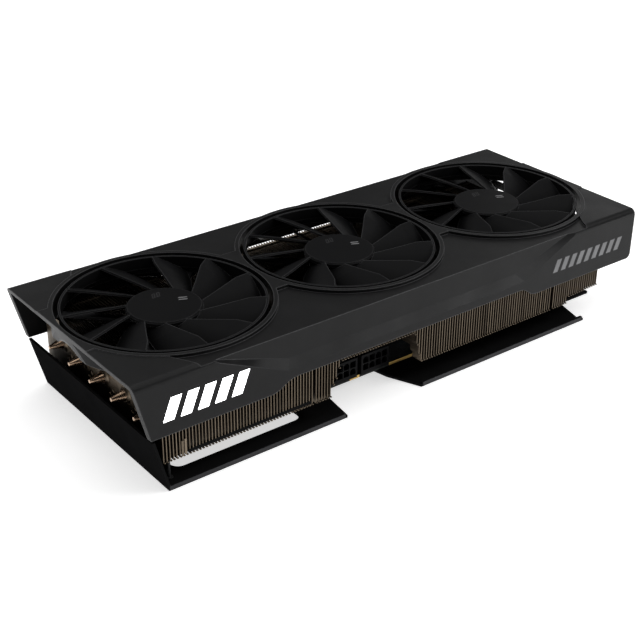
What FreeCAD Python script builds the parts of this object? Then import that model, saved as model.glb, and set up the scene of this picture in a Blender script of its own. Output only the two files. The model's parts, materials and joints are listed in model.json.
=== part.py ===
import FreeCAD, Part
import math
import os

# Triple-fan graphics card lying on its backplate with the fans facing up.
#
# Every piece is laid out in bench coordinates, in millimetres:
#   x  from the open tail end towards the slot bracket
#   y  from the long side with the power sockets towards the slot connector side
#   z  up from the underside of the backplate
# save() then moves each piece so that the origin is the bottom centre of the whole card.

# ---- driving dimensions -------------------------------------------------------------------

CARD_LENGTH = 325.0        # tail edge of the shroud to the slot bracket
BRACKET_REACH = 12.5       # how far the bracket's bent tab stands out past the card
BRACKET_END_Y = 150.0      # tip of the bracket's tongues
CARD_HEIGHT = 60.0
SHROUD_WIDTH = 122.0
TAIL_SLOPE = 0.26          # x gained per mm of depth along the slanted tail

TOP_SKIN = 3.0             # shroud top plate, counted from the raised strip
STEP_HEIGHT = 0.5          # raised strip above the shroud's corners
RECESS_DEPTH = 1.8         # sunk middle panel, below the raised strip and behind the skirt
SKIRT_SKIN = 3.4
SKIRT_DEPTH = 30.3
EDGE_ROUND = 3.4
STRIP_NEAR_Y = 40.3
STRIP_FAR_Y = 88.0

FAN_PITCH = 107.8
FAN_FIRST_X = 54.7
FAN_Y = 63.0
FAN_HOLE_R = 52.9
FAN_RING_R = 50.5
DUCT_WALL = 1.5
DUCT_DEPTH = 11.0
HUB_R = 18.8
BLADE_COUNT = 11
BLADE_START_DEG = 0.3

BOARD_TOP = 6.2
BOARD_THICKNESS = 1.6
BOARD_NEAR_Y = 21.0
BOARD_FAR_Y = 131.4
BOARD_TAIL_X = 104.0
BOARD_END_X = 322.0

SHEET = 1.5                # backplate sheet
LIP_HEIGHT = 2.6
FLANGE_TOP = 28.5

FIN_PITCH = 1.75
FIN_THICKNESS = 0.45
FIN_NEAR_Y = 4.2
FIN_FAR_Y = 114.0
FIN_TOP = 45.0
FIN_BOTTOM = 12.5

PIPE_R = 3.0
PIPE_COUNT = 5
PIPE_FIRST_Y = 15.0
PIPE_PITCH_Y = 20.3
PIPE_Z = 34.0
PIPE_TIP_X = 8.0
PIPE_BEND_SHARE = 0.18     # keeps the bends clear of the end stacks

CHIP_X = 195.0             # centre of the graphics processor
CHIP_Y = 75.0
PLATE_BOTTOM = 8.8         # underside of the cold plate and base plate
PLATE_TOP = 12.5

SOCKET_PITCH = 4.2
SOCKET_FIRST_X = 122.6
SOCKET_GAP = 2.6
SOCKET_FRONT_Y = 20.0
SOCKET_DEPTH = 14.0
SOCKET_HEIGHT = 11.4

LEAD_R = 0.8

FAN_NAMES = ("tail", "middle", "bracket")
FAN_X = [FAN_FIRST_X + FAN_PITCH * index for index in range(3)]
CORNER_TOP = CARD_HEIGHT - STEP_HEIGHT
SKIRT_BOTTOM = CARD_HEIGHT - SKIRT_DEPTH
BOARD_BOTTOM = BOARD_TOP - BOARD_THICKNESS
DUCT_BOTTOM = CARD_HEIGHT - DUCT_DEPTH
FAR_INNER_Y = SHROUD_WIDTH - SKIRT_SKIN

PLACE = FreeCAD.Vector(-(CARD_LENGTH + BRACKET_REACH) / 2, -BRACKET_END_Y / 2, 0)
UP = FreeCAD.Vector(0, 0, 1)
ALONG = FreeCAD.Vector(1, 0, 0)
ACROSS = FreeCAD.Vector(0, 1, 0)


# ---- helpers --------------------------------------------------------------------------------

def point(x, y, z):
    return FreeCAD.Vector(x, y, z)


def block(x0, x1, y0, y1, z0, z1):
    return Part.makeBox(x1 - x0, y1 - y0, z1 - z0, point(x0, y0, z0))


def disc(x, y, z0, z1, radius):
    return Part.makeCylinder(radius, z1 - z0, point(x, y, z0), UP)


def tube(x, y, z0, z1, outer, inner):
    return disc(x, y, z0, z1, outer).cut(disc(x, y, z0 - 1, z1 + 1, inner))


def fused(shapes):
    whole = shapes[0].fuse(shapes[1:]) if len(shapes) > 1 else shapes[0]
    return whole.removeSplitter()


def side_prism(outline, y0, y1):
    """A prism of an (x, z) outline between two y values."""
    corners = [point(x, y0, z) for x, z in outline]
    face = Part.Face(Part.makePolygon(corners + corners[:1]))
    return face.extrude(point(0, y1 - y0, 0))


def plan_prism(outline, z0, z1):
    """A prism of an (x, y) outline between two z values."""
    corners = [point(x, y, z0) for x, y in outline]
    face = Part.Face(Part.makePolygon(corners + corners[:1]))
    return face.extrude(point(0, 0, z1 - z0))


def slanted_bar(x, z, width, height, lean):
    """The (x, z) outline of a bar that leans towards +x with height."""
    return [(x, z), (x + width, z), (x + width + lean, z + height), (x + lean, z + height)]


def tail_x(z):
    return TAIL_SLOPE * (CARD_HEIGHT - z)


def s_bend_edges(x0, z0, x1, z1, y):
    """Two equal arcs joining two level lines, as edges in the plane of one y."""
    run = x1 - x0
    rise = z1 - z0
    radius = (run * run + rise * rise) / (4 * abs(rise))
    half_turn = math.atan2(abs(rise), run)
    sideways = radius * math.sin(half_turn)
    lift = math.copysign(radius * (1 - math.cos(half_turn)), rise)
    middle = point((x0 + x1) / 2, y, (z0 + z1) / 2)
    first = Part.Arc(point(x0, y, z0), point(x0 + sideways, y, z0 + lift), middle)
    second = Part.Arc(middle, point(x1 - sideways, y, z1 - lift), point(x1, y, z1))
    return [first.toShape(), second.toShape()]


def raised_arch(left, right, ramp_left, ramp_right, low, high, y0, y1):
    """A cutter under a skirt: level top edge, an s-bend down at each end."""
    below = low - 5
    edges = s_bend_edges(left, low, left + ramp_left, high, y0)
    edges.append(Part.LineSegment(point(left + ramp_left, y0, high),
                                  point(right - ramp_right, y0, high)).toShape())
    edges += s_bend_edges(right - ramp_right, high, right, low, y0)
    corners = [point(right, y0, low), point(right, y0, below),
               point(left, y0, below), point(left, y0, low)]
    for start, end in zip(corners, corners[1:]):
        edges.append(Part.LineSegment(start, end).toShape())
    face = Part.Face(Part.Wire(edges))
    return face.extrude(point(0, y1 - y0, 0))


def rounded_route(corners, bend_share):
    """Straight runs joined by tangent arcs that take up a share of the shorter run."""
    edges = []
    radii = []
    start = corners[0]
    for before, corner, after in zip(corners, corners[1:], corners[2:]):
        into = (corner - before).normalize()
        out = (after - corner).normalize()
        turn = into.getAngle(out)
        reach = bend_share * min((corner - before).Length, (after - corner).Length)
        radius = reach / math.tan(turn / 2)
        radii.append(radius)
        arc_start = corner - into * reach
        arc_end = corner + out * reach
        to_centre = (out - into).normalize()
        centre = corner + to_centre * (radius / math.cos(turn / 2))
        arc_middle = centre - to_centre * radius
        edges.append(Part.LineSegment(start, arc_start).toShape())
        edges.append(Part.Arc(arc_start, arc_middle, arc_end).toShape())
        start = arc_end
    edges.append(Part.LineSegment(start, corners[-1]).toShape())
    return Part.Wire(edges), radii


def round_tube(corners, radius, name, bend_share=0.45):
    """A round rod along a route; prints its bend radii and how its volume compares."""
    route, radii = rounded_route(corners, bend_share)
    direction = corners[1] - corners[0]
    section = Part.Wire([Part.makeCircle(radius, corners[0], direction)])
    solid = route.makePipeShell([section], True, True)
    expected = math.pi * radius * radius * route.Length
    listed = ", ".join("%.1f" % value for value in radii)
    print("%s: radii %s, volume / (section x length) %.4f" % (name, listed, solid.Volume / expected))
    return solid


def save(name, shapes):
    """Write one node; a list of shapes becomes a group of separate solids."""
    solids = []
    for shape in shapes if isinstance(shapes, list) else [shapes]:
        solids += shape.Solids
    for solid in solids:
        if not solid.isValid() or not solid.isClosed() or solid.Volume <= 0:
            raise ValueError("bad solid in " + name)
    node = solids[0] if len(solids) == 1 else Part.makeCompound(solids)
    node = node.copy()
    node.translate(PLACE)
    node.exportStep("parts/" + name + ".step")
    print("%-24s solids %3d  volume %10.1f" % (name, len(solids), node.Volume))


# ---- shroud ---------------------------------------------------------------------------------

LIGHT_BAR = {"count": 5, "x": 14.5, "z": 37.0, "width": 5.6, "pitch": 9.1, "height": 11.4, "lean": 4.6}
MARK_BAR = {"count": 9, "x": 261.0, "z": 38.2, "width": 3.4, "pitch": 6.1, "height": 7.2, "lean": 2.7}
LIGHT_CLEARANCE = 0.1
MARK_DEPTH = 0.4
BEVEL_FOOT_Z = 39.5        # where the sloping bevel meets the skirt's face
BEVEL_HEAD_Z = 45.0        # where it meets the sunk panel
FAR_ARCH_TOP = 42.5
CORNER_ROUND = 3.0


def bar_row(bar, y0, y1, grow=0.0):
    """Slanted bars through a skirt, each grown all round by a clearance."""
    bars = []
    for index in range(bar["count"]):
        outline = slanted_bar(bar["x"] + index * bar["pitch"] - grow, bar["z"] - grow,
                              bar["width"] + 2 * grow, bar["height"] + 2 * grow, bar["lean"])
        bars.append(side_prism(outline, y0, y1))
    return bars


def side_recess(outer_ends, inner_ends, inner_foot):
    """Cutter for the sunk middle panel on the near skirt, with its sloping bevel."""
    above = CARD_HEIGHT + 1
    outer = [(outer_ends[0], above), (83.0, BEVEL_FOOT_Z), (239.5, BEVEL_FOOT_Z), (outer_ends[1], above)]
    inner = [(inner_ends[0], above), (inner_foot[0], BEVEL_HEAD_Z), (inner_foot[1], BEVEL_HEAD_Z),
             (inner_ends[1], above)]
    wires = []
    for outline, y in ((outer, -0.01), (inner, RECESS_DEPTH)):
        corners = [point(x, y, z) for x, z in outline]
        wires.append(Part.makePolygon(corners + corners[:1]))
    return Part.makeLoft(wires, True, True)


def top_recess():
    """Cutter for the sunk middle panel on the top plate, near half."""
    outline = [(36.5, -1.0), (26.3, 17.5), (24.0, 45.0), (295.5, 45.0), (293.4, 13.8), (287.6, 5.3), (285.0, -1.0)]
    floor = CARD_HEIGHT - RECESS_DEPTH
    return plan_prism(outline, floor, CARD_HEIGHT + 2)


def mirrored_across(shape):
    """The same shape on the far side of the shroud."""
    return shape.mirror(point(0, SHROUD_WIDTH / 2, 0), ACROSS)


def make_shroud():
    outline = [(tail_x(CORNER_TOP), CORNER_TOP), (CARD_LENGTH, CORNER_TOP),
               (CARD_LENGTH, SKIRT_BOTTOM), (tail_x(SKIRT_BOTTOM), SKIRT_BOTTOM)]
    body = side_prism(outline, 0, SHROUD_WIDTH)
    long_edges = [edge for edge in body.Edges
                  if edge.BoundBox.ZMin > CORNER_TOP - 0.01 and edge.BoundBox.XLength > 100]
    body = body.makeFillet(EDGE_ROUND, long_edges)
    corners = [edge for edge in body.Edges
               if edge.BoundBox.ZMax < SKIRT_BOTTOM + 0.01 and edge.BoundBox.XMin > CARD_LENGTH - 0.01]
    body = body.makeFillet(CORNER_ROUND, corners)

    ceiling = CARD_HEIGHT - TOP_SKIN
    body = body.cut(block(-5, CARD_LENGTH + 5, SKIRT_SKIN, FAR_INNER_Y, 0, ceiling))
    near_side = side_recess((36.0, 285.0), (35.0, 280.0), (84.6, 233.0))
    far_side = mirrored_across(side_recess((38.0, 274.0), (50.0, 264.0), (92.0, 230.0)))
    body = body.cut([near_side, top_recess(), far_side, mirrored_across(top_recess())])
    body = body.cut(raised_arch(72, 249, 17, 13, SKIRT_BOTTOM, 35.0, -1, SKIRT_SKIN + 1))
    body = body.cut(raised_arch(66, 262, 26, 26, SKIRT_BOTTOM, FAR_ARCH_TOP, FAR_INNER_Y - 1, SHROUD_WIDTH + 1))

    strip = block(0, CARD_LENGTH, STRIP_NEAR_Y, STRIP_FAR_Y, ceiling, CARD_HEIGHT)
    end_wall = block(CARD_LENGTH - 2, CARD_LENGTH, SKIRT_SKIN - 0.5, FAR_INNER_Y + 0.5, DUCT_BOTTOM, ceiling + 0.5)
    added = [strip, end_wall]
    for x in FAN_X:
        added.append(tube(x, FAN_Y, ceiling, CARD_HEIGHT, FAN_HOLE_R + 2.3, FAN_HOLE_R - 1))
        added.append(tube(x, FAN_Y, DUCT_BOTTOM, ceiling + 0.5, FAN_HOLE_R + DUCT_WALL, FAN_HOLE_R - 1))
        for boss_x, boss_y in motor_foot_places(x):
            added.append(disc(boss_x, boss_y, DUCT_BOTTOM, ceiling + 0.5, BOSS_R))
    body = fused([body] + added)

    cutters = [disc(x, FAN_Y, DUCT_BOTTOM - 1, CARD_HEIGHT + 1, FAN_HOLE_R) for x in FAN_X]
    for x in FAN_X:
        for boss_x, boss_y in motor_foot_places(x):
            cutters.append(disc(boss_x, boss_y, DUCT_BOTTOM - 1, DUCT_BOTTOM + 6, SCREW_CORE_R))
    beyond_tail = [(-20, CARD_HEIGHT + 5), (tail_x(CARD_HEIGHT + 5), CARD_HEIGHT + 5), (tail_x(0), 0), (-20, 0)]
    cutters.append(side_prism(beyond_tail, -5, SHROUD_WIDTH + 5))
    body = body.cut(cutters)
    body = body.cut(bar_row(LIGHT_BAR, -1, SKIRT_SKIN + 1, LIGHT_CLEARANCE))
    return body.cut(bar_row(MARK_BAR, -1, MARK_DEPTH))


def make_side_lights():
    save("side_light_bars", bar_row(LIGHT_BAR, 0.0, SKIRT_SKIN - 1.0))
    first = LIGHT_BAR["x"] - 3
    last = LIGHT_BAR["x"] + LIGHT_BAR["count"] * LIGHT_BAR["pitch"] + LIGHT_BAR["lean"]
    low = LIGHT_BAR["z"] - 2
    high = LIGHT_BAR["z"] + LIGHT_BAR["height"] + 2
    save("side_light_board", block(first, last, SKIRT_SKIN, SKIRT_SKIN + 0.6, low, high))
    save("side_mark_inlays", bar_row(MARK_BAR, 0.0, MARK_DEPTH))


# ---- fans -------------------------------------------------------------------------------------

BOSS_R = 3.6
FOOT_PAD_R = 3.2
SCREW_CORE_R = 1.2
FOOT_R = 57.6              # fan axis to each motor-mount screw
SHAFT_R = 1.5
SHAFT_PLAY = 0.03
BEARING_R = 3.2
MAGNET_OUTER = 15.0
MAGNET_INNER = 13.6
CUP_OUTER = 16.6
ROTOR_TOP = 57.0
ROTOR_BOTTOM = 49.4
CAP_BOTTOM = 54.6
CAP_THICKNESS = 1.6
BASE_TOP = 48.6
BASE_BOTTOM = 46.8
BLADE_BOTTOM = 50.4
BLADE_THICKNESS = 1.1
BLADE_CAMBER = 0.04        # share of the chord
BLADE_SLOPE = 0.5          # fall of a blade per unit of arc, the same at every radius
RING_TOP = 59.5
RING_BOTTOM = 53.4
RING_WALL = 1.2


def motor_foot_places(fan_x):
    places = []
    for quarter in range(4):
        angle = math.radians(45 + 90 * quarter)
        places.append((fan_x + FOOT_R * math.cos(angle), FAN_Y + FOOT_R * math.sin(angle)))
    return places


def blade_section(radius, lead_deg, top):
    """A cambered blade section at one radius: leading top edge to trailing bottom edge."""
    lead = math.radians(lead_deg)
    trail = lead - (top - BLADE_BOTTOM) / (BLADE_SLOPE * radius)
    upper = point(radius * math.cos(lead), radius * math.sin(lead), top)
    lower = point(radius * math.cos(trail), radius * math.sin(trail), BLADE_BOTTOM)
    middle_angle = (lead + trail) / 2
    outward = point(math.cos(middle_angle), math.sin(middle_angle), 0)
    chord = lower - upper
    normal = chord.cross(outward).normalize()
    if normal.z < 0:
        normal = normal * -1
    camber = chord.Length * BLADE_CAMBER
    centre = (upper + lower) * 0.5 + normal * camber
    half = BLADE_THICKNESS / 2
    front = Part.Arc(upper + normal * half, centre + normal * half, lower + normal * half).toShape()
    back = Part.Arc(lower - normal * half, centre - normal * half, upper - normal * half).toShape()
    tip = Part.LineSegment(lower + normal * half, lower - normal * half).toShape()
    nose = Part.LineSegment(upper - normal * half, upper + normal * half).toShape()
    return Part.Wire([front, tip, back, nose])


def make_blade():
    """One blade: it sweeps forward and up from the hub to a kink, then runs straight out to the ring."""
    kink_r = 0.82 * FAN_RING_R
    root_r = CUP_OUTER - 0.9
    tip_r = FAN_RING_R - RING_WALL + 0.5
    kink_top = RING_TOP - 0.2
    root_top = ROTOR_TOP - 1.2
    middle_top = (root_top + kink_top) / 2
    stations = [(root_r, -26.9, root_top), (0.68 * kink_r, -7.9, middle_top), (kink_r, -0.7, kink_top),
                (tip_r, 0.2, kink_top)]
    return Part.makeLoft([blade_section(*station) for station in stations], True, True)


def make_rotor(fan_x):
    cap = disc(0, 0, CAP_BOTTOM, ROTOR_TOP, HUB_R)
    rim = [edge for edge in cap.Edges if edge.BoundBox.ZMin > ROTOR_TOP - 0.01]
    cap = cap.makeChamfer(0.8, rim)
    cup = disc(0, 0, ROTOR_BOTTOM, CAP_BOTTOM + 0.5, CUP_OUTER)
    hollow = disc(0, 0, ROTOR_BOTTOM - 1, ROTOR_TOP - CAP_THICKNESS, MAGNET_OUTER)
    boss = disc(0, 0, ROTOR_TOP - CAP_THICKNESS - 1.6, ROTOR_TOP - CAP_THICKNESS + 0.5, 3.2)
    ring = tube(0, 0, RING_BOTTOM, RING_TOP, FAN_RING_R, FAN_RING_R - RING_WALL)
    blade = make_blade()
    blades = []
    for index in range(BLADE_COUNT):
        copy = blade.copy()
        copy.rotate(point(0, 0, 0), UP, BLADE_START_DEG + 360.0 * index / BLADE_COUNT)
        blades.append(copy)
    rotor = cap.fuse([cup, ring] + blades)
    rotor = rotor.cut(hollow)
    rotor = rotor.fuse(boss)
    rotor = rotor.cut(disc(0, 0, ROTOR_BOTTOM, ROTOR_TOP - CAP_THICKNESS + 0.2, SHAFT_R))
    rotor = rotor.cut(hub_mark_pockets())
    rotor.translate(point(fan_x, FAN_Y, 0))
    return rotor


def hub_mark_pockets():
    """Two short slanted pockets in the hub cap, set off to one side, for an inlaid mark."""
    pockets = []
    for offset in (0.0, 2.6):
        outline = [(offset - 1.2, 9.0), (offset + 0.4, 9.0), (offset + 2.4, 13.0), (offset + 0.8, 13.0)]
        pockets.append(plan_prism(outline, ROTOR_TOP - 0.2, ROTOR_TOP + 1))
    return pockets


def motor_base(fan_x):
    """Fixed plate under the rotor: bearing seat, four thin arms and their screw feet."""
    pieces = [disc(fan_x, FAN_Y, BASE_BOTTOM, BASE_TOP, 16.0)]
    for quarter in range(4):
        arm = block(14.5, FOOT_R, -1.6, 1.6, BASE_BOTTOM, BASE_TOP)
        arm.rotate(point(0, 0, 0), UP, 45 + 90 * quarter)
        arm.translate(point(fan_x, FAN_Y, 0))
        pieces.append(arm)
    for foot_x, foot_y in motor_foot_places(fan_x):
        pieces.append(disc(foot_x, foot_y, BASE_BOTTOM, DUCT_BOTTOM, FOOT_PAD_R))
    pieces.append(block(fan_x + 3.5, fan_x + 8.5, FAN_Y + 12, FAN_Y + 19, BASE_BOTTOM, BASE_TOP))
    base = fused(pieces)
    cutters = [disc(fan_x, FAN_Y, BASE_BOTTOM - 1, BASE_TOP + 1, BEARING_R)]
    for foot_x, foot_y in motor_foot_places(fan_x):
        cutters.append(disc(foot_x, foot_y, BASE_BOTTOM - 1, DUCT_BOTTOM + 1, SCREW_CORE_R + 0.3))
    return base.cut(cutters)


def motor_coils(fan_x):
    """Wound stator: a core ring with four teeth carrying coils."""
    low = BASE_TOP + 0.4
    high = ROTOR_TOP - CAP_THICKNESS - 2.2
    pieces = [tube(0, 0, low, high, 6.0, BEARING_R)]
    for quarter in range(4):
        tooth = block(5.0, 11.0, -2.6, 2.6, low + 0.4, high - 0.4)
        shoe = tube(0, 0, low + 1.0, high - 1.0, 12.6, 10.6)
        shoe = shoe.common(block(5.0, 13.0, -6.2, 6.2, low, high))
        pole = tooth.fuse(shoe)
        pole.rotate(point(0, 0, 0), UP, 90 * quarter)
        pieces.append(pole)
    stator = fused(pieces)
    stator.translate(point(fan_x, FAN_Y, 0))
    return stator


def screw_up(x, y, head_bottom, head_height, head_r, shank_top, shank_r):
    """A screw driven upwards, with a hexagon drive in its head."""
    screw = disc(x, y, head_bottom, head_bottom + head_height, head_r)
    screw = screw.fuse(disc(x, y, head_bottom + head_height, shank_top, shank_r)).removeSplitter()
    return screw.cut(hexagon(x, y, head_bottom - 1, head_bottom + 0.6 * head_height, 0.5 * head_r))


def hexagon(x, y, z0, z1, radius):
    outline = []
    for corner in range(6):
        angle = math.radians(60 * corner)
        outline.append((x + radius * math.cos(angle), y + radius * math.sin(angle)))
    return plan_prism(outline, z0, z1)


def make_fans():
    bearings = []
    coils = []
    screws = []
    shaft_top = ROTOR_TOP - CAP_THICKNESS + 0.2
    bearing_top = ROTOR_TOP - CAP_THICKNESS - 2.2
    for name, fan_x in zip(FAN_NAMES, FAN_X):
        node = "fan_" + name
        save(node + "_rotor", make_rotor(fan_x))
        save(node + "_shaft", disc(fan_x, FAN_Y, BASE_BOTTOM + 0.6, shaft_top, SHAFT_R))
        save(node + "_magnet", tube(fan_x, FAN_Y, ROTOR_BOTTOM + 0.6, CAP_BOTTOM - 0.4, MAGNET_OUTER, MAGNET_INNER))
        save(node + "_motor_base", motor_base(fan_x))
        bearings.append(tube(fan_x, FAN_Y, BASE_BOTTOM, bearing_top, BEARING_R, SHAFT_R + SHAFT_PLAY))
        coils.append(motor_coils(fan_x))
        for x, y in motor_foot_places(fan_x):
            screws.append(screw_up(x, y, BASE_BOTTOM - 1.3, 1.3, 2.4, DUCT_BOTTOM + 5.5, SCREW_CORE_R))
    save("fan_bearings", bearings)
    save("fan_coils", coils)
    save("fan_screws", screws)


# ---- fan leads ----------------------------------------------------------------------------------

LEAD_Y = 116.3
HEADER_X = (112.0, 186.0, 292.0)
HEADER_HEIGHT = 5.0
PLUG_HEIGHT = 4.0


def make_fan_leads():
    """Each lead leaves the motor base, follows the duct's foot and drops to its header."""
    level = (BASE_BOTTOM + BASE_TOP) / 2
    plug_top = BOARD_TOP + HEADER_HEIGHT + PLUG_HEIGHT
    for name, fan_x, header_x in zip(FAN_NAMES, FAN_X, HEADER_X):
        start = point(fan_x + 6, FAN_Y + 19, level)
        turn = point(fan_x + 6, LEAD_Y, level)
        if name == "tail":
            slope = [point(80.0, LEAD_Y, level - 2), point(97.0, LEAD_Y, level - 15)]
        else:
            slope = [point(header_x - 2, LEAD_Y, level - 4)]
        drop = [point(header_x, LEAD_Y, plug_top + 14), point(header_x, LEAD_Y, plug_top)]
        save("fan_" + name + "_lead", round_tube([start, turn] + slope + drop, LEAD_R, "fan_" + name + "_lead"))
    headers = []
    plugs = []
    for x in HEADER_X:
        top = BOARD_TOP + HEADER_HEIGHT
        shell = block(x - 4.2, x + 4.2, LEAD_Y - 2.4, LEAD_Y + 2.4, BOARD_TOP, top)
        shell = shell.cut(block(x - 3.6, x + 3.6, LEAD_Y - 1.8, LEAD_Y + 1.8, BOARD_TOP + 1.2, top + 1))
        headers.append(shell)
        stem = block(x - 3.5, x + 3.5, LEAD_Y - 1.7, LEAD_Y + 1.7, BOARD_TOP + 1.3, top)
        cap = block(x - 4.0, x + 4.0, LEAD_Y - 1.9, LEAD_Y + 1.9, top, top + PLUG_HEIGHT)
        plugs.append(stem.fuse(cap).removeSplitter())
    save("fan_headers", headers)
    save("fan_plugs", plugs)


# ---- heat sink ------------------------------------------------------------------------------------

TAIL_STACK = (15.8, 100.5)
MIDDLE_STACK = (102.2, 266.0)
BRACKET_STACK = (268.0, 304.0)
RAIL_WIDTH = 1.6
RAIL_THICKNESS = 0.5
TUNNEL_NEAR_Y = 11.0
TUNNEL_FAR_Y = 107.0
PIPE_HOLE_R = PIPE_R + 0.15


def pipe_ys():
    return [PIPE_FIRST_Y + PIPE_PITCH_Y * index for index in range(PIPE_COUNT)]


def fin_row(x0, x1):
    """Upright fins across the card, tied together by thin folded rails."""
    count = int((x1 - x0 - FIN_THICKNESS) / FIN_PITCH) + 1
    fins = []
    for index in range(count):
        x = x0 + index * FIN_PITCH
        fins.append(block(x, x + FIN_THICKNESS, FIN_NEAR_Y, FIN_FAR_Y, FIN_BOTTOM, FIN_TOP))
    end = x0 + (count - 1) * FIN_PITCH + FIN_THICKNESS
    rails = []
    for y in (FIN_NEAR_Y + 3.0, FIN_FAR_Y - 3.0 - RAIL_WIDTH):
        for z in (FIN_BOTTOM, FIN_TOP - RAIL_THICKNESS):
            rails.append(block(x0, end, y, y + RAIL_WIDTH, z, z + RAIL_THICKNESS))
    return fins, rails


def pipe_holes(x0, x1):
    return [Part.makeCylinder(PIPE_HOLE_R, x1 - x0 + 4, point(x0 - 2, y, PIPE_Z), ALONG) for y in pipe_ys()]


def make_fin_stacks():
    fins, rails = fin_row(*TAIL_STACK)
    stack = fins[0].fuse(fins[1:] + rails)
    step = [(TAIL_STACK[0] - 1, 5), (TAIL_STACK[0] + 10, 5), (TAIL_STACK[0] + 10, 11), (TAIL_STACK[0] - 1, 11)]
    save("fin_stack_tail", stack.cut(pipe_holes(*TAIL_STACK) + [side_prism(step, 0, 130)]))

    fins, rails = fin_row(*MIDDLE_STACK)
    far = FIN_FAR_Y - 30
    rails.append(block(MIDDLE_STACK[0], rails[0].BoundBox.XMax, far, far + RAIL_WIDTH,
                       FIN_TOP - RAIL_THICKNESS, FIN_TOP))
    stack = fins[0].fuse(fins[1:] + rails)
    notch = [(111.4, 5), (111.4, 12), (112.5, 18.7), (115, 23), (117.3, 31), (165.3, 31), (170.4, 12), (170.4, 5)]
    tunnel_x0, tunnel_x1 = MIDDLE_STACK[0] - 2, MIDDLE_STACK[1] + 2
    tunnel = [(tunnel_x0, 5), (tunnel_x0, 39.5), (111, 39.5), (148, 20), (224, 20), (256, 39.5),
              (tunnel_x1, 39.5), (tunnel_x1, 5)]
    stack = stack.cut([side_prism(notch, 0, 50), side_prism(tunnel, TUNNEL_NEAR_Y, TUNNEL_FAR_Y)])
    save("fin_stack_middle", stack)

    fins, rails = fin_row(*BRACKET_STACK)
    stack = fins[0].fuse(fins[1:] + rails)
    over_ports = [(279.0, 5), (279.0, 16.3), (310, 17.3), (310, 5)]
    tie = block(279.0, rails[0].BoundBox.XMax, FIN_NEAR_Y + 3.0, FIN_NEAR_Y + 3.0 + RAIL_WIDTH, 17.2, 17.8)
    stack = stack.cut(pipe_holes(*BRACKET_STACK) + [side_prism(over_ports, 0, 130)])
    save("fin_stack_bracket", stack.fuse(tie))


def cone_tip(x_base, x_tip, y):
    """Sealed, drawn-down end of a heat pipe."""
    length = abs(x_tip - x_base)
    direction = ALONG if x_tip > x_base else ALONG * -1
    neck = Part.makeCone(PIPE_R, 1.3, length - 1.5, point(x_base, y, PIPE_Z), direction)
    nib_base = point(x_base, y, PIPE_Z) + direction * (length - 1.5)
    return neck.fuse(Part.makeCone(1.3, 0.9, 1.5, nib_base, direction))


def make_heat_pipes():
    """Pipes run straight through both end stacks and dip to the cold plate between them."""
    low = PLATE_TOP + PIPE_R + 0.05
    for index, y in enumerate(pipe_ys()):
        plate_y = CHIP_Y + (index - (PIPE_COUNT - 1) / 2) * 7.4
        route = [point(PIPE_TIP_X + 8, y, PIPE_Z), point(110, y, PIPE_Z), point(140, plate_y, low),
                 point(232, plate_y, low), point(258, y, PIPE_Z), point(305, y, PIPE_Z)]
        body = round_tube(route, PIPE_R, "heat_pipe_%d" % (index + 1), PIPE_BEND_SHARE)
        tips = [cone_tip(PIPE_TIP_X + 8, PIPE_TIP_X, y), cone_tip(305, 312, y)]
        save("heat_pipe_%d" % (index + 1), fused([body] + tips))


# ---- circuit board --------------------------------------------------------------------------------

EDGE_KEY_X = 268.0
EDGE_TIP_Y = BOARD_FAR_Y + 8.25
EDGE_LONG = 71.6
EDGE_SHORT = 11.6
KEY_WIDTH = 1.9
CONTACT_PITCH = 1.0
PACKAGE = 45.0
MEMORY_LENGTH = 14.0
MEMORY_WIDTH = 12.0
SCREW_R = 1.2
BOARD_SCREWS = ((112.0, 34.0), (112.0, 126.0), (262.0, 34.0), (262.0, 126.0), (316.0, 38.0), (316.0, 126.0))
SPRING_SCREWS = [(CHIP_X + dx, CHIP_Y + dy) for dx in (-32.0, 32.0) for dy in (-32.0, 32.0)]


def make_board():
    outline = [(BOARD_TAIL_X, BOARD_NEAR_Y), (300.0, BOARD_NEAR_Y), (306.0, 32.5), (BOARD_END_X, 32.5),
               (BOARD_END_X, BOARD_FAR_Y), (EDGE_KEY_X + EDGE_SHORT, BOARD_FAR_Y),
               (EDGE_KEY_X + EDGE_SHORT, EDGE_TIP_Y), (EDGE_KEY_X - EDGE_LONG, EDGE_TIP_Y),
               (EDGE_KEY_X - EDGE_LONG, BOARD_FAR_Y), (BOARD_TAIL_X, BOARD_FAR_Y)]
    board = plan_prism(outline, BOARD_BOTTOM, BOARD_TOP)
    key = block(EDGE_KEY_X - KEY_WIDTH / 2, EDGE_KEY_X + KEY_WIDTH / 2, BOARD_FAR_Y + 0.5, EDGE_TIP_Y + 1, 0, 10)
    holes = [disc(x, y, 0, 10, SCREW_R + 0.3) for x, y in BOARD_SCREWS]
    holes += [disc(x, y, 0, 10, SCREW_R + 0.5) for x, y in SPRING_SCREWS]
    save("circuit_board", board.cut([key] + holes))

    contacts = []
    rows = ((EDGE_KEY_X + KEY_WIDTH / 2 + 0.6, 10, 1), (EDGE_KEY_X - KEY_WIDTH / 2 - 0.6, 69, -1))
    for start, count, direction in rows:
        for index in range(count):
            x = start + direction * (index * CONTACT_PITCH + 0.35)
            for low, high in ((BOARD_TOP, BOARD_TOP + 0.08), (BOARD_BOTTOM - 0.08, BOARD_BOTTOM)):
                contacts.append(block(x - 0.35, x + 0.35, EDGE_TIP_Y - 5.6, EDGE_TIP_Y - 0.5, low, high))
    save("edge_contacts", contacts)


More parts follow.
